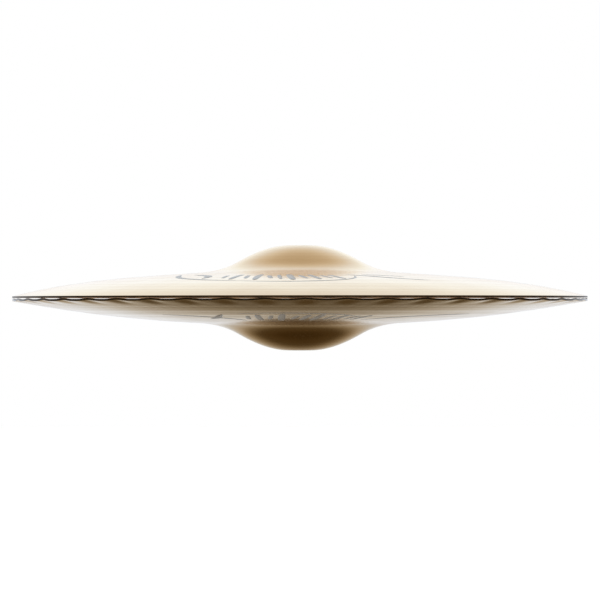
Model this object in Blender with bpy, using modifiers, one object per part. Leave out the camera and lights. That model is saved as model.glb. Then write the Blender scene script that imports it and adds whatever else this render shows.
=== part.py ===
"""A closed pair of hi-hat cymbals.

Two turned bronze cymbals on one vertical axis, hollow side to hollow side. The bottom cymbal lies
bell down, with ripples pressed into its rim. The top cymbal lies bell up just above it, and lifts
along the axis. Metres, +Z up; the origin is the centre of the bottom cymbal's crown, where a
stand's seat carries the pair. -Y is the front.
"""

import math
from dataclasses import dataclass

import bpy

# The pair
DIAMETER = 0.3556                # 14 inches
ROD_HOLE_DIAMETER = 0.0127       # half an inch, which every stand's rod and clutch fit
CLOSED_GAP = 0.0003              # between the ripple's crests and the top cymbal's rim

# The bell, which has one shape on both cymbals
CROWN_DIAMETER = 0.018           # the flat ring round the hole that felts bear on
CROWN_SLOPE = math.radians(3)    # of the dome where it leaves the crown
BELL_HEIGHT = 0.0169             # of the crown above the foot of the bell
FLANK_RADIUS = 0.038             # where the side of the bell is steepest
FLANK_DROP = 0.01                # how far the flank is below the crown
FLANK_SLOPE = math.radians(30)
FOOT_RADIUS = 0.062              # where the bell has run out into the bow

# The ripple: narrow crests between wider dips, dying out inwards
RIPPLE_COUNT = 48
RIPPLE_AMPLITUDE = 0.0003        # half the height from dip to crest
RIPPLE_SHARPNESS = 0.25          # how much narrower the crests are than the dips
RIPPLE_WIDTH = 0.014             # how far in from the rim it reaches
RIPPLE_DIP_ANGLE = math.radians(-92.6)   # of the dip beside the front of the pair

# How finely the solids are cut
DOME_STEPS = 3
FLARE_STEPS = 3
BOW_STEPS = 3
RIPPLE_STEPS = 2
TOP_SEGMENTS = 96
SEGMENTS_PER_RIPPLE = 4
BOTTOM_SEGMENTS = SEGMENTS_PER_RIPPLE * RIPPLE_COUNT
MERGE_DISTANCE = 0.00001
SHARP_ANGLE = math.radians(40)

BRONZE = (0.72, 0.53, 0.29, 1.0)
BRONZE_ROUGHNESS = 0.2
RIM_RADIUS = DIAMETER / 2


@dataclass(frozen=True)
class Cymbal:
    """The sizes that the two cymbals don't share. The bow is all that lies outside the bell."""

    bow_height: float            # of the foot of the bell above the rim
    foot_slope: float
    rim_slope: float
    bell_thickness: float
    foot_thickness: float
    rim_thickness: float

    @property
    def crown_height(self):
        """The crown above the rim, both on the outer face."""
        return self.bow_height + BELL_HEIGHT


TOP = Cymbal(
    bow_height=0.01466,
    foot_slope=math.radians(4),
    rim_slope=math.radians(15),
    bell_thickness=0.0013,
    foot_thickness=0.0012,
    rim_thickness=0.0009,
)
BOTTOM = Cymbal(
    bow_height=0.0138,
    foot_slope=math.radians(3),
    rim_slope=math.radians(11),
    bell_thickness=0.0018,
    foot_thickness=0.0017,
    rim_thickness=0.0012,
)


def clear_scene():
    """Remove whatever the new file came with."""
    for obj in list(bpy.data.objects):
        bpy.data.objects.remove(obj, do_unlink=True)


def bronze(name):
    """Lathed and polished cymbal bronze."""
    material = bpy.data.materials.new(name)
    material.use_nodes = True
    shader = material.node_tree.nodes["Principled BSDF"]
    shader.inputs["Base Color"].default_value = BRONZE
    shader.inputs["Metallic"].default_value = 1.0
    shader.inputs["Roughness"].default_value = BRONZE_ROUGHNESS
    return material


def spaced(first, last, steps):
    """Evenly spaced radii after the first, up to and with the last."""
    return [first + (last - first) * step / steps for step in range(1, steps + 1)]


def on_curve(start, end, radius):
    """The (radius, height, slope) at a radius on the cubic that joins two of the same."""
    (r0, h0, s0), (r1, h1, s1) = start, end
    span = r1 - r0
    t = (radius - r0) / span
    height = (
        (2 * t**3 - 3 * t**2 + 1) * h0
        + (t**3 - 2 * t**2 + t) * span * s0
        + (3 * t**2 - 2 * t**3) * h1
        + (t**3 - t**2) * span * s1
    )
    slope = (
        6 * (t - t**2) * (h1 - h0) / span
        + (3 * t**2 - 4 * t + 1) * s0
        + (3 * t**2 - 2 * t) * s1
    )
    return radius, height, slope


def outer_face(cymbal):
    """The outer face from hole to rim, as (radius, height above the rim, slope)."""
    crown_radius = CROWN_DIAMETER / 2
    crown = (crown_radius, cymbal.crown_height, -math.tan(CROWN_SLOPE))
    flank = (FLANK_RADIUS, cymbal.crown_height - FLANK_DROP, -math.tan(FLANK_SLOPE))
    foot = (FOOT_RADIUS, cymbal.bow_height, -math.tan(cymbal.foot_slope))
    rim = (RIM_RADIUS, 0.0, -math.tan(cymbal.rim_slope))
    ripple_radius = RIM_RADIUS - RIPPLE_WIDTH
    bow_radii = spaced(FOOT_RADIUS, ripple_radius, BOW_STEPS)
    bow_radii += spaced(ripple_radius, RIM_RADIUS, RIPPLE_STEPS)
    face = [(radius, cymbal.crown_height, 0.0) for radius in (ROD_HOLE_DIAMETER / 2, crown_radius)]
    face += [on_curve(crown, flank, r) for r in spaced(crown_radius, FLANK_RADIUS, DOME_STEPS)]
    face += [on_curve(flank, foot, r) for r in spaced(FLANK_RADIUS, FOOT_RADIUS, FLARE_STEPS)]
    face += [on_curve(foot, rim, r) for r in bow_radii]
    return face


def thickness_at(cymbal, radius):
    """The wall at a radius: even over the dome, then thinning to the foot and on to the rim."""
    if radius <= FLANK_RADIUS:
        return cymbal.bell_thickness
    if radius <= FOOT_RADIUS:
        share = (radius - FLANK_RADIUS) / (FOOT_RADIUS - FLANK_RADIUS)
        return cymbal.bell_thickness + share * (cymbal.foot_thickness - cymbal.bell_thickness)
    share = (radius - FOOT_RADIUS) / (RIM_RADIUS - FOOT_RADIUS)
    return cymbal.foot_thickness + share * (cymbal.rim_thickness - cymbal.foot_thickness)


def rim_wall(cymbal):
    """The upright height of a cymbal's edge."""
    return cymbal.rim_thickness * math.hypot(1, math.tan(cymbal.rim_slope))


def inner_face(cymbal, outer):
    """The hollow face under an outer face, as (radius, height above the outer rim)."""
    face = []
    for radius, height, slope in outer:
        upright_wall = thickness_at(cymbal, radius) * math.hypot(1, slope)
        face.append((radius, height - upright_wall))
    return face


def turned_mesh(name, upper, lower, segments, start_angle):
    """A wall turned about Z from its upper and lower faces, each (radius, height) from the hole."""
    section = upper + lower[::-1]
    profile = bpy.data.meshes.new(name + "_section")
    across, along = math.cos(start_angle), math.sin(start_angle)
    corners = [(radius * across, radius * along, height) for radius, height in section]
    sides = [(i, (i + 1) % len(corners)) for i in range(len(corners))]
    profile.from_pydata(corners, sides, [])
    blank = bpy.data.objects.new(name + "_blank", profile)
    bpy.context.scene.collection.objects.link(blank)
    screw = blank.modifiers.new("turned", "SCREW")
    screw.axis = "Z"
    screw.steps = segments
    screw.render_steps = segments
    screw.use_merge_vertices = True
    screw.merge_threshold = MERGE_DISTANCE
    depsgraph = bpy.context.evaluated_depsgraph_get()
    mesh = bpy.data.meshes.new_from_object(blank.evaluated_get(depsgraph))
    mesh.name = name
    bpy.data.objects.remove(blank)
    bpy.data.meshes.remove(profile)
    return mesh


def ripple_lift(radius, angle):
    """How far the pressed rim stands above the plain one at a radius and an angle."""
    reach = (radius - (RIM_RADIUS - RIPPLE_WIDTH)) / RIPPLE_WIDTH
    if reach <= 0:
        return 0.0
    fade = reach * reach * (3 - 2 * reach)
    phase = RIPPLE_COUNT * (angle - RIPPLE_DIP_ANGLE) + math.pi
    return RIPPLE_AMPLITUDE * fade * (math.cos(phase) + RIPPLE_SHARPNESS * math.cos(2 * phase))


def press_ripple(mesh):
    """Press the ripple into a turned mesh; both faces of the wall move together."""
    for vertex in mesh.vertices:
        x, y, _ = vertex.co
        vertex.co.z += ripple_lift(math.hypot(x, y), math.atan2(y, x))


def place(name, mesh, height, parent, material, collection):
    """Put one cymbal on the axis at a height, shaded smooth but for its edges."""
    mesh.materials.append(material)
    mesh.shade_smooth()
    mesh.set_sharp_from_angle(angle=SHARP_ANGLE)
    obj = bpy.data.objects.new(name, mesh)
    obj.location.z = height
    obj.parent = parent
    collection.objects.link(obj)


def bottom_cymbal(parent, collection):
    """Make the bottom cymbal, bell down, on its crown at the origin."""
    outer = outer_face(BOTTOM)
    lower = [(radius, BOTTOM.crown_height - height) for radius, height, _ in outer]
    upper = [(radius, BOTTOM.crown_height - height) for radius, height in inner_face(BOTTOM, outer)]
    # the turning starts at a dip, so that its steps meet every dip and crest
    mesh = turned_mesh("bottom_cymbal", upper, lower, BOTTOM_SEGMENTS, RIPPLE_DIP_ANGLE)
    press_ripple(mesh)
    place("bottom_cymbal", mesh, 0.0, parent, bronze("bottom_bronze"), collection)


def top_cymbal(parent, collection):
    """Make the top cymbal, bell up, its own origin level with the edge of its outer face."""
    outer = outer_face(TOP)
    upper = [(radius, height) for radius, height, _ in outer]
    lower = inner_face(TOP, outer)
    mesh = turned_mesh("top_cymbal", upper, lower, TOP_SEGMENTS, 0.0)
    _, rim_underside = lower[-1]
    crest = BOTTOM.crown_height + rim_wall(BOTTOM) + RIPPLE_AMPLITUDE * (1 + RIPPLE_SHARPNESS)
    height = crest + CLOSED_GAP - rim_underside
    place("top_cymbal", mesh, height, parent, bronze("top_bronze"), collection)


def main():
    clear_scene()
    parts = bpy.data.collections.new("hi_hat_pair")
    bpy.context.scene.collection.children.link(parts)
    axis = bpy.data.objects.new("rod_axis", None)
    parts.objects.link(axis)
    bottom_cymbal(axis, parts)
    top_cymbal(axis, parts)


main()
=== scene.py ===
"""Dresses the fixed model of a closed pair of hi-hat cymbals: buffed and lathed bronze, a pressed
ripple, a printed ornament on each cymbal, and a plain white studio. Metres, +Z up; the origin is the
centre of the bottom cymbal's crown and -Y is the front.
"""

import math

import bmesh
import bpy
from bpy.props import FloatProperty, FloatVectorProperty, IntProperty, PointerProperty
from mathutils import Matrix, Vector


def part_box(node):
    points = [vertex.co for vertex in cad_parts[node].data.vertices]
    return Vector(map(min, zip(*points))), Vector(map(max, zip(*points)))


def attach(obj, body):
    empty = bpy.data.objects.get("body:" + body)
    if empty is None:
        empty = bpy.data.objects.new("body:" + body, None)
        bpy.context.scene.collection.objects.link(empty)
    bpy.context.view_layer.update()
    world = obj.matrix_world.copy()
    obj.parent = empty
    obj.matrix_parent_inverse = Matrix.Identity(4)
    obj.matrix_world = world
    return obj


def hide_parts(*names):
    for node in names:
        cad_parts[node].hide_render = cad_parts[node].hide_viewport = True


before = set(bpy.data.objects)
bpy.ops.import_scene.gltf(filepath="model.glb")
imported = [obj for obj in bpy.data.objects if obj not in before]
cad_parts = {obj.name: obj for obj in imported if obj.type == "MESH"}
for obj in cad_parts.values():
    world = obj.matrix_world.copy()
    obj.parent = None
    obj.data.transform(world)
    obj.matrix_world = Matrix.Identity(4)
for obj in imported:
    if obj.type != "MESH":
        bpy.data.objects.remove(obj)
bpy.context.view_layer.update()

bl_info = {
    "name": "Hi-hat cymbal pair",
    "version": (1, 0, 0),
    "blender": (4, 5, 0),
    "location": "3D View > Sidebar > Hi-hat",
    "description": "Makes a pair of lathed bronze hi-hat cymbals over its fixed model, and its studio",
    "category": "Add Mesh",
}

TOP_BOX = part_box("top_cymbal")
BOTTOM_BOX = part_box("bottom_cymbal")
RIM_RADIUS = TOP_BOX[1].x
MERGE_DISTANCE = 0.000001


# --------------------------------------------------------------------------- sizes and colours


def from_hex(text):
    """An sRGB hex colour as linear red, green and blue."""
    shares = [int(text[i:i + 2], 16) / 255 for i in (1, 3, 5)]
    return [s / 12.92 if s <= 0.04045 else ((s + 0.055) / 1.055) ** 2.4 for s in shares]


def length(name, description, default):
    """A size in metres."""
    return FloatProperty(name=name, description=description, default=default, min=0.0,
                         precision=5, unit="LENGTH")


def angle(name, description, degrees):
    """An angle, its default given in degrees."""
    return FloatProperty(name=name, description=description, default=math.radians(degrees),
                         subtype="ANGLE", unit="ROTATION")


def colour(name, description, text):
    """A colour, its default given as sRGB hex."""
    return FloatVectorProperty(name=name, description=description, default=from_hex(text),
                               subtype="COLOR", size=3, min=0.0, max=1.0)


def share(name, description, default):
    """A share from 0 to 1."""
    return FloatProperty(name=name, description=description, default=default, min=0.0, max=1.0,
                         subtype="FACTOR")


class PairSizes(bpy.types.PropertyGroup):
    """Sizes that both cymbals share."""

    rod_hole: length("Rod hole", "Diameter of the hole through each crown", 0.0127)
    crown: length("Crown", "Diameter of the flat ring round the hole", 0.018)
    crown_slope: angle("Crown slope", "Slope of the dome where it leaves the crown", 3)
    bell_height: length("Bell height", "Crown above the foot of the bell", 0.0169)
    flank_radius: length("Flank radius", "Where the side of the bell is steepest", 0.038)
    flank_drop: length("Flank drop", "How far the flank is below the crown", 0.01)
    flank_slope: angle("Flank slope", "Slope of the side of the bell at its steepest", 30)
    foot_radius: length("Foot radius", "Where the bell has run out into the bow", 0.062)
    ripple_count: IntProperty(name="Ripples", description="Waves round the bottom rim",
                              default=48, min=3)
    ripple_height: length("Ripple height", "Half the height from dip to crest", 0.0003)
    ripple_sharpness: share("Ripple sharpness", "How much narrower crests are than dips", 0.25)
    ripple_width: length("Ripple width", "How far in from the rim the ripple reaches", 0.014)
    ripple_dip: angle("Ripple dip", "Direction of the dip beside the front", -92.6)
    hole_rounding: length("Hole rounding", "Rounding of the rod hole's edges", 0.0003)
    crown_rounding: length("Crown rounding", "Easing of the crown into the dome", 0.0016)


class TopSizes(bpy.types.PropertyGroup):
    """Sizes of the top cymbal alone."""

    bow_height: length("Bow height", "Foot of the bell above the rim", 0.01466)
    foot_slope: angle("Foot slope", "Slope of the bow at the bell", 4)
    rim_slope: angle("Rim slope", "Slope of the bow at the rim", 15)
    bell_thickness: length("Bell thickness", "Wall of the dome", 0.0013)
    foot_thickness: length("Foot thickness", "Wall at the foot of the bell", 0.0012)
    rim_thickness: length("Rim thickness", "Wall at the rim", 0.0009)
    rim_rounding: length("Rim rounding", "Rounding of the rim's two edges", 0.0001)


class BottomSizes(bpy.types.PropertyGroup):
    """Sizes of the bottom cymbal alone."""

    bow_height: length("Bow height", "Foot of the bell above the rim", 0.0138)
    foot_slope: angle("Foot slope", "Slope of the bow at the bell", 3)
    rim_slope: angle("Rim slope", "Slope of the bow at the rim", 11)
    bell_thickness: length("Bell thickness", "Wall of the dome", 0.0018)
    foot_thickness: length("Foot thickness", "Wall at the foot of the bell", 0.0017)
    rim_thickness: length("Rim thickness", "Wall at the rim", 0.0012)
    rim_rounding: length("Rim rounding", "Rounding of the rim's two edges", 0.00018)


class Finishes(bpy.types.PropertyGroup):
    """Colours and gloss of the surfaces."""

    bronze: colour("Bronze", "Cast bronze of 80 parts copper and 20 tin, buffed", "#E7C18B")
    toned_bronze: colour("Toned bronze", "The same bronze where it has begun to tone", "#D9AE74")
    inner_bronze: colour("Inner bronze", "The hollow side where it has toned most", "#A87C48")
    # painted dark reflection: on the rim's upright wall this colour stands in for the dim room that the
    # wall mirrors; round the hole the same colour is real wear from the felts
    painted_rim_reflection_and_felt_wear: colour("Edge", "Painted dark reflection on the rim wall; round the hole, real wear from the felts", "#35281B")
    bow_roughness: share("Bow roughness", "Of the buffed outer bow", 0.12)
    bell_roughness: share("Bell roughness", "Of the bell, which the buffing wheel barely meets", 0.15)
    inner_roughness: share("Inner roughness", "Of the inner faces, lathed but less buffed", 0.4)
    ink: colour("Ink", "Screen-printed ink", "#77716A")
    paper: colour("Paper", "Seamless studio paper", "#F6F5F3")


class Studio(bpy.types.PropertyGroup):
    """The camera, the floor and the lights."""

    camera_distance: length("Camera distance", "From the axis, towards the front", 1.96)
    camera_height: length("Camera height", "Above the bottom crown", 0.027)
    camera_aside: length("Camera aside", "To the right of the axis", 0.00007)
    camera_roll: angle("Camera roll", "Clockwise", 0.04)
    camera_shift: FloatProperty(name="Camera shift", description="Of the frame upwards, as a share",
                                default=0.0113)
    lens: FloatProperty(name="Lens", description="Focal length in millimetres", default=189.5,
                        min=1.0)
    floor_drop: length("Floor drop", "Floor below the bottom crown", 0.35)
    floor_radius: length("Floor radius", "Radius of the floor", 8.0)
    softbox_size: length("Softbox size", "Side of the overhead softbox", 2.4)
    softbox_height: length("Softbox height", "Softbox above the bottom crown", 1.9)
    softbox_power: FloatProperty(name="Softbox power", description="Power of the softbox",
                                 default=12.0, min=0.0, unit="POWER")


# --------------------------------------------------------------------------- the turned section

# Waves that the lathe and the hammers leave in a bow: (length in mm, slope in degrees, crest in mm)
BOW_WAVES = ((20.0, 0.40, 120.0), (9.3, 0.28, 168.0), (5.9, 0.18, 166.0))
BOW_WAVE_FADE = 0.012
BELL_STEP = 0.0018
BOW_STEP = 0.0013
INNER_BELL_STEP = 0.004
INNER_BOW_STEP = 0.0033
EDGE_STEP = 0.0006
RIM_ROUND_STEPS = 4
HOLE_ROUND_STEPS = 3
CROWN_ROUND_STEPS = 2
WALL_TOLERANCE = 0.00002         # how close to the rim's radius the upright wall lies
FIT_TOLERANCE = 0.00025          # how far a piece's box may be from its solid's


def spaced(first, last, step):
    """Evenly spaced radii after the first, up to and with the last, about a step apart."""
    count = max(1, round((last - first) / step))
    return [first + (last - first) * i / count for i in range(1, count + 1)]


def on_curve(start, end, radius):
    """The (height, slope) at a radius on the cubic between two (radius, height, slope)."""
    (r0, h0, s0), (r1, h1, s1) = start, end
    span = r1 - r0
    t = (radius - r0) / span
    height = (
        (2 * t**3 - 3 * t**2 + 1) * h0
        + (t**3 - 2 * t**2 + t) * span * s0
        + (3 * t**2 - 2 * t**3) * h1
        + (t**3 - t**2) * span * s1
    )
    slope = (
        6 * (t - t**2) * (h1 - h0) / span
        + (3 * t**2 - 4 * t + 1) * s0
        + (3 * t**2 - 2 * t) * s1
    )
    return height, slope


def crown_height(pair, hat):
    """The crown above the rim, both on the outer face."""
    return hat.bow_height + pair.bell_height


def outer_curve(pair, hat, radius):
    """The (height above the rim, slope) of the plain outer face at a radius."""
    top = crown_height(pair, hat)
    crown_radius = pair.crown / 2
    crown = (crown_radius, top, -math.tan(pair.crown_slope))
    flank = (pair.flank_radius, top - pair.flank_drop, -math.tan(pair.flank_slope))
    foot = (pair.foot_radius, hat.bow_height, -math.tan(hat.foot_slope))
    rim = (RIM_RADIUS, 0.0, -math.tan(hat.rim_slope))
    if radius <= crown_radius + MERGE_DISTANCE:
        return top, 0.0
    if radius <= pair.flank_radius:
        return on_curve(crown, flank, radius)
    if radius <= pair.foot_radius:
        return on_curve(flank, foot, radius)
    return on_curve(foot, rim, radius)


def bow_wave(pair, radius):
    """How far the lathe's waves lift the outer bow at a radius."""
    inside = (radius - pair.foot_radius) / BOW_WAVE_FADE
    outside = (RIM_RADIUS - radius) / (BOW_WAVE_FADE / 2)
    fade = max(0.0, min(1.0, inside, outside))
    lift = 0.0
    for wave, slope, crest in BOW_WAVES:
        turn = 2 * math.pi / (wave * 0.001)
        lift += math.radians(slope) / turn * math.sin(turn * (radius - crest * 0.001))
    return lift * fade * fade * (3 - 2 * fade)


def outer_height(pair, hat, radius):
    """The outer face above the rim at a radius, waves and all."""
    return outer_curve(pair, hat, radius)[0] + bow_wave(pair, radius)


def inner_height(pair, hat, radius):
    """The hollow face above the outer rim at a radius."""
    height, slope = outer_curve(pair, hat, radius)
    if radius <= pair.flank_radius:
        wall = hat.bell_thickness
    elif radius <= pair.foot_radius:
        part = (radius - pair.flank_radius) / (pair.foot_radius - pair.flank_radius)
        wall = hat.bell_thickness + part * (hat.foot_thickness - hat.bell_thickness)
    else:
        part = (radius - pair.foot_radius) / (RIM_RADIUS - pair.foot_radius)
        wall = hat.foot_thickness + part * (hat.rim_thickness - hat.foot_thickness)
    return height - wall * math.hypot(1, slope)


def face_radii(pair, bell_step, bow_step):
    """The radii at which one face is cut, from the hole to the rim."""
    crown_radius = pair.crown / 2
    radii = [pair.rod_hole / 2, crown_radius]
    radii += spaced(crown_radius, pair.foot_radius, bell_step)
    radii += spaced(pair.foot_radius, RIM_RADIUS - 2 * EDGE_STEP, bow_step)
    return radii + [RIM_RADIUS - EDGE_STEP, RIM_RADIUS]


def ripple_lift(pair, radius, direction):
    """How far the pressed rim stands above the plain one at a radius and a direction."""
    reach = (radius - (RIM_RADIUS - pair.ripple_width)) / pair.ripple_width
    if reach <= 0:
        return 0.0
    fade = reach * reach * (3 - 2 * reach)
    phase = pair.ripple_count * (direction - pair.ripple_dip) + math.pi
    wave = math.cos(phase) + pair.ripple_sharpness * math.cos(2 * phase)
    return pair.ripple_height * fade * wave


def ring_edges(bm, radius):
    """The edges that run round the mesh at a radius."""
    found = []
    for edge in bm.edges:
        a, b = (v.co for v in edge.verts)
        if abs(a.z - b.z) > MERGE_DISTANCE:
            continue
        if all(abs(math.hypot(c.x, c.y) - radius) < MERGE_DISTANCE * 5 for c in (a, b)):
            found.append(edge)
    return found


def round_edges(bm, edges, width, segments):
    """Round some edges over."""
    if not edges:
        raise RuntimeError("no edges found to round")
    bmesh.ops.bevel(bm, geom=edges, offset=width, offset_type="OFFSET", segments=segments,
                    profile=0.5, affect="EDGES", material=-1, clamp_overlap=True)


def turned_hat(pair, hat, base, sense, steps, direction):
    """A cymbal turned from its section. Base is the level of its outer rim; sense is 1 with the bell
    up and -1 with it down. The inner faces get the second material."""
    bm = bmesh.new()
    outer = [(r, base + sense * outer_height(pair, hat, r))
             for r in face_radii(pair, BELL_STEP, BOW_STEP)]
    inner = [(r, base + sense * inner_height(pair, hat, r))
             for r in face_radii(pair, INNER_BELL_STEP, INNER_BOW_STEP)]
    across, along = math.cos(direction), math.sin(direction)
    section = [bm.verts.new((r * across, r * along, z)) for r, z in outer + inner[::-1]]
    for first, second in zip(section, section[1:] + section[:1]):
        bm.edges.new((first, second))
    bmesh.ops.spin(bm, geom=bm.verts[:] + bm.edges[:], cent=(0, 0, 0), axis=(0, 0, 1),
                   angle=2 * math.pi, steps=steps, use_merge=True)
    bmesh.ops.remove_doubles(bm, verts=bm.verts[:], dist=MERGE_DISTANCE)
    bmesh.ops.recalc_face_normals(bm, faces=bm.faces[:])
    for face in bm.faces:
        centre = face.calc_center_median()
        radius = math.hypot(centre.x, centre.y)
        middle = (outer_curve(pair, hat, radius)[0] + inner_height(pair, hat, radius)) / 2
        face.material_index = 0 if sense * (centre.z - base) > middle - MERGE_DISTANCE else 1
    round_edges(bm, ring_edges(bm, RIM_RADIUS), hat.rim_rounding, RIM_ROUND_STEPS)
    round_edges(bm, ring_edges(bm, pair.rod_hole / 2), pair.hole_rounding, HOLE_ROUND_STEPS)
    round_edges(bm, ring_edges(bm, pair.crown / 2), pair.crown_rounding, CROWN_ROUND_STEPS)
    return bm


def finished(bm, name, materials):
    """Make a closed mesh into an object at the origin, shaded smooth but for a rim's upright wall."""
    if any(not edge.is_manifold for edge in bm.edges):
        raise RuntimeError(f"{name} is not closed")
    if bm.calc_volume(signed=True) < 0:
        bmesh.ops.reverse_faces(bm, faces=bm.faces[:])
    for face in bm.faces:
        at_rim = math.hypot(*face.calc_center_median().xy) > RIM_RADIUS - WALL_TOLERANCE
        face.smooth = not (at_rim and abs(face.normal.z) < 0.001)
    mesh = bpy.data.meshes.new(name)
    bm.to_mesh(mesh)
    bm.free()
    for material in materials:
        mesh.materials.append(material)
    obj = bpy.data.objects.new(name, mesh)
    bpy.context.scene.collection.objects.link(obj)
    return obj


def check_fit(obj, box):
    """Stop if a piece's box is not its solid's."""
    for axis in range(3):
        values = [v.co[axis] for v in obj.data.vertices]
        for value, side in ((min(values), box[0][axis]), (max(values), box[1][axis])):
            if abs(value - side) > FIT_TOLERANCE:
                raise RuntimeError(f"{obj.name} does not fill its solid's box")


# --------------------------------------------------------------------------- materials


def add_node(tree, kind, links=None, **settings):
    """Add a node. Links gives its inputs, by name or number: a value, or the output to join."""
    node = tree.nodes.new(kind)
    for name, value in settings.items():
        setattr(node, name, value)
    for name, value in (links or {}).items():
        if isinstance(value, bpy.types.NodeSocket):
            tree.links.new(value, node.inputs[name])
        else:
            node.inputs[name].default_value = value
    return node


def opaque(rgb):
    """A colour with full alpha, as a node's socket takes it."""
    return (*rgb, 1.0)


def set_stops(ramp, stops):
    """Give a colour ramp its stops, each (position, (red, green, blue))."""
    elements = ramp.elements
    while len(elements) < len(stops):
        elements.new(0.5)
    for element, (position, rgb) in zip(elements, stops):
        element.position = position
        element.color = opaque(rgb)


def new_material(name):
    """An empty material, and its tree, shader and object coordinates."""
    material = bpy.data.materials.new(name)
    material.use_nodes = True
    tree = material.node_tree
    shader = tree.nodes["Principled BSDF"]
    place = add_node(tree, "ShaderNodeTexCoord").outputs["Object"]
    return material, tree, shader, place


HAMMER_MARKS = 150               # hammer marks in a row round the bow, 6.6 mm apart
HAMMER_RADIUS = 0.158
HAMMER_WIDTH = 0.0034
HAMMER_DEPTH = 0.00003
WIDE_RING = 0.0085               # width of the rings that the buffing wheel leaves
TOOL_WANDER = 0.0005             # how far the lathe's tool strays from a true ring
WANDER_SCALE = 22.0              # it strays and returns in about 45 mm
CLOUD_SCALE = 26.0               # toning clouds, about 40 mm wide
PAINTED_RIM_REFLECTION_FADE = (0.00008, 0.00002)   # the painted dark reflection on the rim's upright wall begins and is full this far inside the rim
FELT_RUB = 0.003                 # how far past the crown the felts darken it
GLOSS_CHANGE = (0.009, 0.003)    # the bell's gloss turns into the bow's inside and outside the foot


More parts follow.
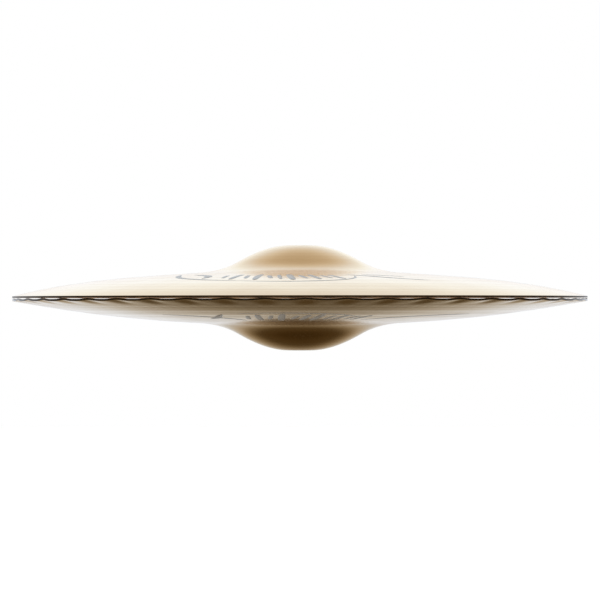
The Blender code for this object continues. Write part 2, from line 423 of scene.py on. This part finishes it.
def bronze_material(name, pair, finish, bronze, toned_bronze, bow_roughness, bell_roughness,
                    groove_pitch, groove_depth, hammered):
    """Cast bronze, hammered, then lathed in rings and buffed. To the eye: pale gold that mirrors the
    room in soft level bands, drawn out across the lathe's rings; the bell is duller than the bow, the
    rim's upright wall carries a painted dark reflection, the felt's ring round the hole is darker from
    wear, and a row of hammer marks shows faintly."""
    material, tree, shader, place = new_material(name)
    flat = add_node(tree, "ShaderNodeVectorMath", {0: place, 1: (1, 1, 0)}, operation="MULTIPLY")
    radius = add_node(tree, "ShaderNodeVectorMath", {0: flat.outputs[0]},
                      operation="LENGTH").outputs["Value"]

    # rings: the tool wanders a little, so no ring is perfectly round or even
    wander = add_node(tree, "ShaderNodeTexNoise",
                      {"Vector": place, "Scale": WANDER_SCALE, "Detail": 1.0})
    wandered = add_node(tree, "ShaderNodeMath", {0: wander.outputs["Fac"], 1: TOOL_WANDER, 2: radius},
                        operation="MULTIPLY_ADD").outputs[0]
    rings = add_node(tree, "ShaderNodeMath", {0: wandered, 1: 1.0 / groove_pitch},
                     operation="MULTIPLY").outputs[0]
    grooves = add_node(tree, "ShaderNodeTexNoise",
                       {"W": rings, "Scale": 1.0, "Detail": 3.0, "Roughness": 0.55},
                       noise_dimensions="1D").outputs["Fac"]
    wide_rings = add_node(tree, "ShaderNodeMath", {0: wandered, 1: 1.0 / WIDE_RING},
                          operation="MULTIPLY").outputs[0]
    bands = add_node(tree, "ShaderNodeTexNoise",
                     {"W": wide_rings, "Scale": 1.0, "Detail": 2.0, "Roughness": 0.5},
                     noise_dimensions="1D").outputs["Fac"]

    # toning: clouds a few centimetres wide, and rings where the buffing wheel pressed less
    clouds = add_node(tree, "ShaderNodeTexNoise",
                      {"Vector": place, "Scale": CLOUD_SCALE, "Detail": 4.0,
                       "Roughness": 0.6}).outputs["Fac"]
    clouded = add_node(tree, "ShaderNodeMapRange",
                       {"Value": clouds, "From Min": 0.42, "From Max": 0.75, "To Max": 0.35})
    banded = add_node(tree, "ShaderNodeMapRange",
                      {"Value": bands, "From Min": 0.45, "From Max": 0.75, "To Max": 0.3})
    toning = add_node(tree, "ShaderNodeMath", {0: clouded.outputs["Result"],
                                               1: banded.outputs["Result"]}, operation="ADD")
    base = add_node(tree, "ShaderNodeMix",
                    {"Factor": toning.outputs[0], 6: opaque(bronze), 7: opaque(toned_bronze)},
                    data_type="RGBA").outputs[2]

    # the rim's upright wall, painted dark as a painted reflection of the dim room, and the ring that the
    # felts rub, darker from real wear
    at_rim = add_node(tree, "ShaderNodeMapRange",
                      {"Value": radius, "From Min": RIM_RADIUS - PAINTED_RIM_REFLECTION_FADE[0],
                       "From Max": RIM_RADIUS - PAINTED_RIM_REFLECTION_FADE[1]}).outputs["Result"]
    # painted dark reflection on the rim's upright wall
    base = add_node(tree, "ShaderNodeMix", {"Factor": at_rim, 6: base, 7: opaque(finish.painted_rim_reflection_and_felt_wear)},
                    data_type="RGBA").outputs[2]
    at_hole = add_node(tree, "ShaderNodeMapRange",
                       {"Value": radius, "From Min": pair.crown / 2 + FELT_RUB,
                        "From Max": pair.rod_hole / 2, "To Max": 0.45}).outputs["Result"]
    base = add_node(tree, "ShaderNodeMix", {"Factor": at_hole, 6: base, 7: opaque(finish.painted_rim_reflection_and_felt_wear)},
                    data_type="RGBA").outputs[2]
    tree.links.new(base, shader.inputs["Base Color"])

    # gloss: bell to bow, with smears and rings in it
    gloss = add_node(tree, "ShaderNodeMapRange",
                     {"Value": radius, "From Min": pair.foot_radius - GLOSS_CHANGE[0],
                      "From Max": pair.foot_radius + GLOSS_CHANGE[1], "To Min": bell_roughness,
                      "To Max": bow_roughness}, interpolation_type="SMOOTHSTEP")
    smears = add_node(tree, "ShaderNodeMapRange",
                      {"Value": clouds, "From Min": 0.3, "From Max": 0.8, "To Min": -0.02,
                       "To Max": 0.05})
    worn = add_node(tree, "ShaderNodeMapRange",
                    {"Value": bands, "From Min": 0.3, "From Max": 0.7, "To Max": 0.03})
    gloss = add_node(tree, "ShaderNodeMath", {0: gloss.outputs["Result"], 1: smears.outputs["Result"]},
                     operation="ADD")
    gloss = add_node(tree, "ShaderNodeMath", {0: gloss.outputs[0], 1: worn.outputs["Result"]},
                     operation="ADD")
    gloss = add_node(tree, "ShaderNodeMath", {0: at_hole, 1: 0.4, 2: gloss.outputs[0]},
                     operation="MULTIPLY_ADD")
    tree.links.new(gloss.outputs[0], shader.inputs["Roughness"])

    normal = add_node(tree, "ShaderNodeBump", {"Height": grooves, "Distance": groove_depth})
    if hammered:
        # one row of shallow dents
        split = add_node(tree, "ShaderNodeSeparateXYZ", {0: place}).outputs
        turn = add_node(tree, "ShaderNodeMath", {0: split["Y"], 1: split["X"]}, operation="ARCTAN2")
        beats = add_node(tree, "ShaderNodeMath", {0: turn.outputs[0], 1: float(HAMMER_MARKS)},
                         operation="MULTIPLY")
        beat = add_node(tree, "ShaderNodeMath", {0: beats.outputs[0]}, operation="COSINE")
        inward = add_node(tree, "ShaderNodeMath", {0: radius, 1: HAMMER_RADIUS}, operation="SUBTRACT")
        off_row = add_node(tree, "ShaderNodeMath", {0: inward.outputs[0]}, operation="ABSOLUTE")
        row = add_node(tree, "ShaderNodeMapRange",
                       {"Value": off_row.outputs[0], "From Min": HAMMER_WIDTH, "From Max": 0.0},
                       interpolation_type="SMOOTHSTEP")
        struck = add_node(tree, "ShaderNodeMapRange",
                          {"Value": beat.outputs[0], "From Min": -0.2, "From Max": 1.0},
                          interpolation_type="SMOOTHSTEP")
        marks = add_node(tree, "ShaderNodeMath", {0: row.outputs["Result"],
                                                  1: struck.outputs["Result"]}, operation="MULTIPLY")
        normal = add_node(tree, "ShaderNodeBump",
                          {"Height": marks.outputs[0], "Distance": HAMMER_DEPTH,
                           "Normal": normal.outputs["Normal"]}, invert=True)
    tree.links.new(normal.outputs["Normal"], shader.inputs["Normal"])
    tangent = add_node(tree, "ShaderNodeTangent", direction_type="RADIAL", axis="Z")
    tree.links.new(tangent.outputs["Tangent"], shader.inputs["Tangent"])
    shader.inputs["Metallic"].default_value = 1.0
    shader.inputs["Anisotropic"].default_value = 0.3
    shader.inputs["Anisotropic Rotation"].default_value = 0.25
    return material


def outer_bronze(name, pair, finish):
    """Bronze lathed and then buffed. To the eye: a bright pale gold mirror with fine level rings."""
    # real grooves are about 0.4 mm apart, too fine to show, so they are drawn 2.1 mm apart
    return bronze_material(name, pair, finish, finish.bronze, finish.toned_bronze,
                           finish.bow_roughness, finish.bell_roughness, groove_pitch=0.0021,
                           groove_depth=0.00003, hammered=True)


def inner_bronze(name, pair, finish):
    """Bronze lathed and left unbuffed. To the eye: satin, browner, with coarser rings."""
    # the hollow side is lathed with a coarser tool, drawn 3 mm apart for the same reason
    return bronze_material(name, pair, finish, finish.toned_bronze, finish.inner_bronze,
                           finish.inner_roughness, finish.inner_roughness + 0.06,
                           groove_pitch=0.003, groove_depth=0.00006, hammered=False)


INK_GRAIN = 700.0                # grain of the print, about 1.4 mm; real grain is finer than shows
PAPER_MOTTLE = 3.0               # mottle of the paper, about 330 mm


def ink_material(finish):
    """Screen-printed solvent ink: thin, warm grey, with a satin film. To the eye: mid grey from above,
    and paler at a glancing angle, where the film mirrors the room."""
    material, tree, shader, place = new_material("screen_printed_ink")
    grain = add_node(tree, "ShaderNodeTexNoise",
                     {"Vector": place, "Scale": INK_GRAIN, "Detail": 2.0, "Roughness": 0.6})
    wear = add_node(tree, "ShaderNodeMapRange",
                    {"Value": grain.outputs["Fac"], "From Min": 0.35, "From Max": 0.75,
                     "To Min": 0.0, "To Max": 0.35})
    lighter = [min(1.0, c * 1.8) for c in finish.ink]
    mixed = add_node(tree, "ShaderNodeMix",
                     {"Factor": wear.outputs["Result"], 6: opaque(finish.ink), 7: opaque(lighter)},
                     data_type="RGBA")
    tree.links.new(mixed.outputs[2], shader.inputs["Base Color"])
    film = add_node(tree, "ShaderNodeBump", {"Height": grain.outputs["Fac"], "Distance": 0.000004})
    tree.links.new(film.outputs["Normal"], shader.inputs["Normal"])
    shader.inputs["Roughness"].default_value = 0.3
    shader.inputs["IOR"].default_value = 1.5
    return material


def paper_material(finish):
    """Seamless studio paper, matt. To the eye: plain white with the faintest mottle."""
    material, tree, shader, place = new_material("seamless_paper")
    mottle = add_node(tree, "ShaderNodeTexNoise",
                      {"Vector": place, "Scale": PAPER_MOTTLE, "Detail": 3.0})
    darker = [c * 0.985 for c in finish.paper]
    mixed = add_node(tree, "ShaderNodeMix",
                     {"Factor": mottle.outputs["Fac"], 6: opaque(finish.paper), 7: opaque(darker)},
                     data_type="RGBA")
    tree.links.new(mixed.outputs[2], shader.inputs["Base Color"])
    shader.inputs["Roughness"].default_value = 0.9
    return material


# --------------------------------------------------------------------------- the printed ornament

INK_PROUD = 0.00003              # how far the print stands off the bronze
INK_DEPTH = 0.0001               # and how far its sheet reaches down from there

# Each stroke: (angle in degrees, radius in mm) points, then its greatest width in mm. 0 is the front.
TOP_SWASHES = (
    (((-51, 92), (-46, 100), (-41, 110), (-35, 120), (-26, 128), (-16, 133)), 3.6),
    (((-42, 94), (-37, 97), (-32, 103), (-29, 112), (-28, 122)), 5.0),
    (((-16, 133), (-6, 136), (4, 134), (12, 127), (16, 117), (18, 104)), 2.4),
    (((17, 95), (20, 99), (24, 108), (29, 120), (36, 130)), 4.0),
    (((23, 93), (27, 95), (31, 101), (34, 110)), 3.0),
)
TOP_BARS = ((-23.5, 0.5, 2.6), (-20, 0.9, 3.6), (-16.4, 0.6, 2.8), (-13, 1.0, 4.0), (-9.2, 0.55, 3.0),
            (-6.2, 0.8, 2.6), (-2.8, 1.0, 4.2), (1, 0.62, 2.8), (4.4, 0.85, 3.4), (8, 0.5, 2.6),
            (11.2, 0.72, 3.2))
BOTTOM_SWASHES = (
    (((-40, 126), (-33, 120), (-27, 112), (-22, 101), (-20, 92)), 4.4),
    (((-31, 102), (-27, 108), (-24, 117), (-21, 127)), 4.4),
    (((22, 96), (27, 106), (34, 116), (43, 124), (52, 128)), 3.6),
    (((-16, 130), (-6, 133), (4, 131), (12, 125), (17, 116)), 2.4),
)
BOTTOM_BARS = ((-16, 0.5, 3.0), (-12.6, 0.85, 4.0), (-9, 0.6, 2.8), (-5.6, 1.0, 4.4), (-1.6, 0.5, 2.8),
               (1.6, 0.8, 3.6), (5.2, 0.95, 4.2), (9, 0.6, 2.8), (12.2, 0.8, 3.6), (16, 0.5, 2.8),
               (19, 0.66, 3.2))
BAR_LENGTH = 38.0                # mm, of the longest
BAR_RADIUS = 110.0               # mm, of their middles
BAR_LEAN = 1.2                   # degrees that a bar's ends stand off its middle
STROKE_STEPS = 7                 # between two points of a stroke
THINNEST = 0.12                  # share of its width that a stroke keeps at its tips
SWASH_TIP = 0.6                  # how long a stroke takes to swell, from 0 for at once
BAR_TIP = 0.25


def along(points):
    """Points evenly stepped along a smooth curve through some (angle, radius) points."""
    path = []
    ends = [points[0], *points, points[-1]]
    for a, b, c, d in zip(ends, ends[1:], ends[2:], ends[3:]):
        for i in range(STROKE_STEPS):
            t = i / STROKE_STEPS
            path.append([
                0.5 * (2 * q + (r - p) * t + (2 * p - 5 * q + 4 * r - s) * t * t
                       + (3 * q - p - 3 * r + s) * t**3)
                for p, q, r, s in zip(a, b, c, d)
            ])
    path.append(list(points[-1]))
    return path


def on_plan(degrees, millimetres):
    """The (x, y) of an ornament's point, 0 degrees being the front."""
    turn = math.radians(degrees)
    return millimetres * 0.001 * math.sin(turn), -millimetres * 0.001 * math.cos(turn)


def lay_stroke(bm, path, width, tip):
    """Lay one flat stroke along a path: an edge across its start, extruded step by step."""
    spots = [on_plan(*point) for point in path]
    last = len(spots) - 1
    edge = None
    for i, (x, y) in enumerate(spots):
        (xa, ya), (xb, yb) = spots[max(0, i - 1)], spots[min(last, i + 1)]
        dx, dy = xb - xa, yb - ya
        run = math.hypot(dx, dy)
        half = width * 0.0005 * max(THINNEST, math.sin(math.pi * i / last) ** tip)
        sides = [(x - dy / run * half, y + dx / run * half, 0.0),
                 (x + dy / run * half, y - dx / run * half, 0.0)]
        if edge is None:
            edge = bm.edges.new([bm.verts.new(side) for side in sides])
            continue
        before = edge.verts[:]
        grown = bmesh.ops.extrude_edge_only(bm, edges=[edge])["geom"]
        edge = next(e for e in grown if isinstance(e, bmesh.types.BMEdge) and not
                    any(v in before for v in e.verts))
        for vert, side in zip(edge_verts_like(edge, before), sides):
            vert.co = side


def edge_verts_like(edge, before):
    """The two ends of a freshly extruded edge, in the order of the edge it grew from."""
    first, second = edge.verts
    joined = any(second_edge.other_vert(first) is before[0] for second_edge in first.link_edges)
    return (first, second) if joined else (second, first)


def print_ornament(pair, hat, base, sense, swashes, bars):
    """One cymbal's ornament: a row of bars of uneven length between brush strokes."""
    bm = bmesh.new()
    for points, width in swashes:
        lay_stroke(bm, along(points), width, SWASH_TIP)
    for degrees, part, width in bars:
        reach = BAR_LENGTH * part / 2
        path = along(((degrees - BAR_LEAN, BAR_RADIUS - reach), (degrees, BAR_RADIUS),
                      (degrees + BAR_LEAN, BAR_RADIUS + reach)))
        lay_stroke(bm, path, width, BAR_TIP)
    for vert in bm.verts:
        radius = math.hypot(vert.co.x, vert.co.y)
        vert.co.z = base + sense * (outer_height(pair, hat, radius) + INK_PROUD)
    bmesh.ops.recalc_face_normals(bm, faces=bm.faces[:])
    for face in bm.faces:
        if face.normal.z * sense < 0:
            face.normal_flip()
    bmesh.ops.solidify(bm, geom=bm.faces[:], thickness=INK_DEPTH)
    bmesh.ops.recalc_face_normals(bm, faces=bm.faces[:])
    return bm


# --------------------------------------------------------------------------- the studio

# What the bronze mirrors towards the backdrop: (elevation in degrees, red, green, blue)
BACKDROP = (
    (-90, 0.42, 0.42, 0.42), (-45, 0.50, 0.50, 0.50), (-22, 0.57, 0.58, 0.58),
    (-16, 0.59, 0.61, 0.62), (-12, 0.64, 0.68, 0.71), (-9, 0.77, 0.83, 0.89),
    (-5, 0.91, 0.97, 1.05), (-2, 0.96, 1.03, 1.13), (0, 0.94, 1.01, 1.12),
    (2, 0.95, 1.02, 1.10), (5, 1.02, 1.06, 1.12), (10, 1.07, 1.18, 1.28), (18, 1.07, 1.22, 1.34),
    (24, 0.98, 1.12, 1.24), (28, 0.93, 1.07, 1.28), (32, 0.88, 0.99, 1.16),
    (36, 0.84, 0.91, 1.02), (40, 0.79, 0.84, 0.91), (44, 0.74, 0.77, 0.81),
    (50, 0.65, 0.65, 0.65), (58, 0.59, 0.59, 0.59), (90, 0.59, 0.59, 0.59),
)
# The same towards the camera, where the room is dim at eye level
CAMERA_SIDE = (
    (-90, 0.25, 0.24, 0.22), (-60, 0.75, 0.74, 0.72), (-22, 0.85, 0.84, 0.82),
    (-10, 0.60, 0.60, 0.59), (-5, 0.36, 0.36, 0.36), (5, 0.36, 0.36, 0.36),
    (10, 0.72, 0.76, 0.80), (16, 1.00, 1.12, 1.20), (28, 0.93, 1.07, 1.28),
    (36, 0.84, 0.91, 1.02), (44, 0.74, 0.77, 0.81), (58, 0.59, 0.59, 0.59),
    (90, 0.59, 0.59, 0.59),
)
BRIGHTEST = 1.35                 # what 1 stands for in the two ramps as they are stored
BACKDROP_UNTIL = 0.80            # how far forward a direction points, at eye level, where the
CAMERA_SIDE_FROM = 0.20          # backdrop starts to give way and where the camera's side is full
FILL_STRENGTH = 1.14             # of the even light on matt things
SEEN_STRENGTH = 1.0              # of the white that the camera sees

# A dark flag that stands on edge under the pair, seen by nothing but gloss. It lets less through the
# lower the ray meets it: (height in mm, red, green, blue)
FLAG = (
    (-260, 0.05, 0.03, 0.01), (-90, 0.11, 0.07, 0.025), (-60, 0.16, 0.11, 0.05),
    (-50, 0.14, 0.10, 0.045), (-42, 0.19, 0.14, 0.075), (-34, 0.31, 0.25, 0.155),
    (-26, 0.46, 0.39, 0.28), (-19, 0.62, 0.555, 0.44), (-12, 0.83, 0.77, 0.67),
    (-6, 0.93, 0.89, 0.82), (0, 0.98, 0.96, 0.93), (5, 1.0, 1.0, 1.0),
)
FLAG_BEHIND = 0.033              # how far behind the axis it stands
FLAG_REACH = 0.6                 # to each side


def by_elevation(stops):
    """A sky's stops over the sine of the elevation, as a share from straight down to straight up."""
    return [((math.sin(math.radians(degrees)) + 1) / 2, [c / BRIGHTEST for c in rgb])
            for degrees, *rgb in stops]


def flag_material():
    """Smoked gel, darker downwards. To the eye: unseen, but for the brown shade under the cymbals."""
    material, tree, shader, place = new_material("smoked_gel")
    height = add_node(tree, "ShaderNodeSeparateXYZ", {0: place}).outputs["Z"]
    low, high = FLAG[0][0] * 0.001, FLAG[-1][0] * 0.001
    part = add_node(tree, "ShaderNodeMapRange", {"Value": height, "From Min": low, "From Max": high})
    ramp = add_node(tree, "ShaderNodeValToRGB", {"Fac": part.outputs["Result"]})
    set_stops(ramp.color_ramp, [((level * 0.001 - low) / (high - low), rgb) for level, *rgb in FLAG])
    gel = add_node(tree, "ShaderNodeBsdfTransparent", {"Color": ramp.outputs["Color"]})
    tree.nodes.remove(shader)
    output = next(node for node in tree.nodes if node.type == "OUTPUT_MATERIAL")
    tree.links.new(gel.outputs["BSDF"], output.inputs["Surface"])
    return material


def studio_world():
    """Soft light from all round. Gloss mirrors a bright backdrop and ceiling, a dimmer floor and a
    dim room behind the camera; the camera itself sees plain white."""
    world = bpy.data.worlds.new("white_studio")
    world.use_nodes = True
    tree = world.node_tree
    tree.nodes.clear()
    ray = add_node(tree, "ShaderNodeLightPath").outputs
    toward = add_node(tree, "ShaderNodeTexCoord").outputs["Generated"]
    split = add_node(tree, "ShaderNodeSeparateXYZ", {0: toward}).outputs
    height = add_node(tree, "ShaderNodeMath", {0: split["Z"], 1: 0.5, 2: 0.5},
                      operation="MULTIPLY_ADD").outputs[0]
    level = add_node(tree, "ShaderNodeVectorMath", {0: toward, 1: (1, 1, 0)}, operation="MULTIPLY")
    level = add_node(tree, "ShaderNodeVectorMath", {0: level.outputs[0]}, operation="NORMALIZE")
    facing = add_node(tree, "ShaderNodeSeparateXYZ", {0: level.outputs[0]}).outputs["Y"]
    behind = add_node(tree, "ShaderNodeMapRange",
                      {"Value": facing, "From Min": BACKDROP_UNTIL, "From Max": CAMERA_SIDE_FROM,
                       "To Min": 0.0, "To Max": 1.0}, interpolation_type="SMOOTHSTEP")
    backdrop = add_node(tree, "ShaderNodeValToRGB", {"Fac": height})
    set_stops(backdrop.color_ramp, by_elevation(BACKDROP))
    camera_side = add_node(tree, "ShaderNodeValToRGB", {"Fac": height})
    set_stops(camera_side.color_ramp, by_elevation(CAMERA_SIDE))
    mirrored = add_node(tree, "ShaderNodeMix",
                        {"Factor": behind.outputs["Result"], 6: backdrop.outputs["Color"],
                         7: camera_side.outputs["Color"]}, data_type="RGBA").outputs[2]
    gloss = add_node(tree, "ShaderNodeBackground", {"Color": mirrored, "Strength": BRIGHTEST})
    fill = add_node(tree, "ShaderNodeBackground",
                    {"Color": (1, 1, 1, 1), "Strength": FILL_STRENGTH})
    seen = add_node(tree, "ShaderNodeBackground",
                    {"Color": (1, 1, 1, 1), "Strength": SEEN_STRENGTH})
    lit = add_node(tree, "ShaderNodeMixShader",
                   {0: ray["Is Glossy Ray"], 1: fill.outputs[0], 2: gloss.outputs[0]})
    shown = add_node(tree, "ShaderNodeMixShader",
                     {0: ray["Is Camera Ray"], 1: lit.outputs[0], 2: seen.outputs[0]})
    add_node(tree, "ShaderNodeOutputWorld", {"Surface": shown.outputs[0]})
    return world


def stage_object(scene, bm, name, material):
    """Make a mesh into an object that belongs to the stage."""
    mesh = bpy.data.meshes.new(name)
    bm.to_mesh(mesh)
    bm.free()
    mesh.materials.append(material)
    obj = bpy.data.objects.new(name, mesh)
    scene.collection.objects.link(obj)
    return obj


def lay_floor(scene, studio):
    """A white floor that the bronze does not mirror."""
    bm = bmesh.new()
    bmesh.ops.create_circle(bm, cap_ends=True, segments=128, radius=studio.floor_radius)
    bmesh.ops.translate(bm, verts=bm.verts[:], vec=(0, 0, -studio.floor_drop))
    floor = stage_object(scene, bm, "floor", paper_material(scene.hihat_finishes))
    floor.visible_glossy = False


def stand_flag(scene):
    """The dark flag, on edge behind the axis, which nothing but gloss sees."""
    low, high = FLAG[0][0] * 0.001, FLAG[-1][0] * 0.001
    bm = bmesh.new()
    corner = bm.verts.new((-FLAG_REACH, FLAG_BEHIND, low))
    edge = bm.edges.new((corner, bm.verts.new((FLAG_REACH, FLAG_BEHIND, low))))
    grown = bmesh.ops.extrude_edge_only(bm, edges=[edge])["geom"]
    raised = [part for part in grown if isinstance(part, bmesh.types.BMVert)]
    bmesh.ops.translate(bm, verts=raised, vec=(0, 0, high - low))
    flag = stage_object(scene, bm, "dark_flag", flag_material())
    flag.visible_camera = flag.visible_diffuse = flag.visible_shadow = False
    flag.visible_transmission = flag.visible_volume_scatter = False


def hang_softbox(scene, studio):
    """A wide soft lamp over the pair."""
    lamp = bpy.data.lights.new("overhead_softbox", "AREA")
    lamp.shape = "SQUARE"
    lamp.size = studio.softbox_size
    lamp.energy = studio.softbox_power
    softbox = bpy.data.objects.new("overhead_softbox", lamp)
    softbox.location = (0.0, 0.0, studio.softbox_height)
    softbox.visible_glossy = False
    softbox.visible_camera = False
    scene.collection.objects.link(softbox)


def set_camera(scene, studio):
    """A level camera in front, at about the height of the rims."""
    camera = bpy.data.cameras.new("camera")
    camera.lens = studio.lens
    camera.sensor_width = 36.0
    camera.shift_y = studio.camera_shift
    camera.clip_start, camera.clip_end = 0.05, 50.0
    viewer = bpy.data.objects.new("camera", camera)
    viewer.location = (studio.camera_aside, -studio.camera_distance, studio.camera_height)
    viewer.rotation_euler = (math.radians(90), studio.camera_roll, 0.0)
    scene.collection.objects.link(viewer)
    return viewer


# --------------------------------------------------------------------------- operators

BOTTOM_STEPS_A_RIPPLE = 10
TOP_STEPS = 384


def bottom_base(pair, hat):
    """The level of the bottom cymbal's plain outer rim."""
    return BOTTOM_BOX[0].z + crown_height(pair, hat)


def top_base(pair, hat):
    """The level of the top cymbal's outer rim."""
    return TOP_BOX[1].z - crown_height(pair, hat)


class HIHAT_OT_bottom_cymbal(bpy.types.Operator):
    """Make the bottom cymbal, bell down, with ripples pressed into its rim"""

    bl_idname = "hihat.bottom_cymbal"
    bl_label = "Bottom cymbal"

    def execute(self, context):
        scene = context.scene
        pair, hat, finish = scene.hihat_pair, scene.hihat_bottom, scene.hihat_finishes
        steps = pair.ripple_count * BOTTOM_STEPS_A_RIPPLE
        bm = turned_hat(pair, hat, bottom_base(pair, hat), -1, steps, pair.ripple_dip)
        for vert in bm.verts:
            x, y, _ = vert.co
            vert.co.z += ripple_lift(pair, math.hypot(x, y), math.atan2(y, x))
        hat_piece = finished(bm, "bottom_hat_bronze", [
            outer_bronze("buffed_cast_bronze_bottom", pair, finish),
            inner_bronze("lathed_cast_bronze_bottom", pair, finish),
        ])
        check_fit(hat_piece, BOTTOM_BOX)
        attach(hat_piece, "bottom_hat")
        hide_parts("bottom_cymbal")
        return {"FINISHED"}


class HIHAT_OT_top_cymbal(bpy.types.Operator):
    """Make the top cymbal, bell up, with a plain rim"""

    bl_idname = "hihat.top_cymbal"
    bl_label = "Top cymbal"

    def execute(self, context):
        scene = context.scene
        pair, hat, finish = scene.hihat_pair, scene.hihat_top, scene.hihat_finishes
        bm = turned_hat(pair, hat, top_base(pair, hat), 1, TOP_STEPS, 0.0)
        hat_piece = finished(bm, "top_hat_bronze", [
            outer_bronze("buffed_cast_bronze_top", pair, finish),
            inner_bronze("lathed_cast_bronze_top", pair, finish),
        ])
        check_fit(hat_piece, TOP_BOX)
        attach(hat_piece, "top_hat")
        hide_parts("top_cymbal")
        return {"FINISHED"}


class HIHAT_OT_ornaments(bpy.types.Operator):
    """Print a plain ornament on the front of each cymbal's outer face"""

    bl_idname = "hihat.ornaments"
    bl_label = "Printed ornaments"

    def execute(self, context):
        scene = context.scene
        pair, top, bottom = scene.hihat_pair, scene.hihat_top, scene.hihat_bottom
        ink = ink_material(scene.hihat_finishes)
        bm = print_ornament(pair, top, top_base(pair, top), 1, TOP_SWASHES, TOP_BARS)
        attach(finished(bm, "top_hat_print", [ink]), "top_hat")
        bm = print_ornament(pair, bottom, bottom_base(pair, bottom), -1, BOTTOM_SWASHES, BOTTOM_BARS)
        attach(finished(bm, "bottom_hat_print", [ink]), "bottom_hat")
        return {"FINISHED"}


class HIHAT_OT_studio(bpy.types.Operator):
    """Set up the camera, the white floor and the soft light"""

    bl_idname = "hihat.studio"
    bl_label = "Studio"

    def execute(self, context):
        scene = context.scene
        studio = scene.hihat_studio
        lay_floor(scene, studio)
        stand_flag(scene)
        hang_softbox(scene, studio)
        scene.world = studio_world()
        scene.camera = set_camera(scene, studio)
        scene.view_settings.view_transform = "Standard"
        return {"FINISHED"}


class HIHAT_PT_panel(bpy.types.Panel):
    """The pair's pieces and its studio"""

    bl_idname = "HIHAT_PT_panel"
    bl_label = "Hi-hat pair"
    bl_space_type = "VIEW_3D"
    bl_region_type = "UI"
    bl_category = "Hi-hat"

    def draw(self, context):
        layout = self.layout
        for operator in OPERATORS:
            layout.operator(operator.bl_idname)
        for name in GROUPS:
            group = getattr(context.scene, name)
            box = layout.box()
            box.label(text=group.bl_rna.name)
            for key in group.__annotations__:
                box.prop(group, key)


OPERATORS = (HIHAT_OT_bottom_cymbal, HIHAT_OT_top_cymbal, HIHAT_OT_ornaments, HIHAT_OT_studio)
GROUPS = {
    "hihat_pair": PairSizes,
    "hihat_top": TopSizes,
    "hihat_bottom": BottomSizes,
    "hihat_finishes": Finishes,
    "hihat_studio": Studio,
}


def register():
    """Register the classes and hang their settings on the scene."""
    for cls in (*GROUPS.values(), *OPERATORS, HIHAT_PT_panel):
        bpy.utils.register_class(cls)
    for name, cls in GROUPS.items():
        setattr(bpy.types.Scene, name, PointerProperty(type=cls))


def unregister():
    """Undo what register did."""
    for name in GROUPS:
        delattr(bpy.types.Scene, name)
    for cls in (HIHAT_PT_panel, *reversed(OPERATORS), *reversed(GROUPS.values())):
        bpy.utils.unregister_class(cls)


def main():
    """Make the pair and its studio."""
    register()
    bpy.ops.hihat.bottom_cymbal()
    bpy.ops.hihat.top_cymbal()
    bpy.ops.hihat.ornaments()
    bpy.ops.hihat.studio()


if __name__ == "__main__":
    main()
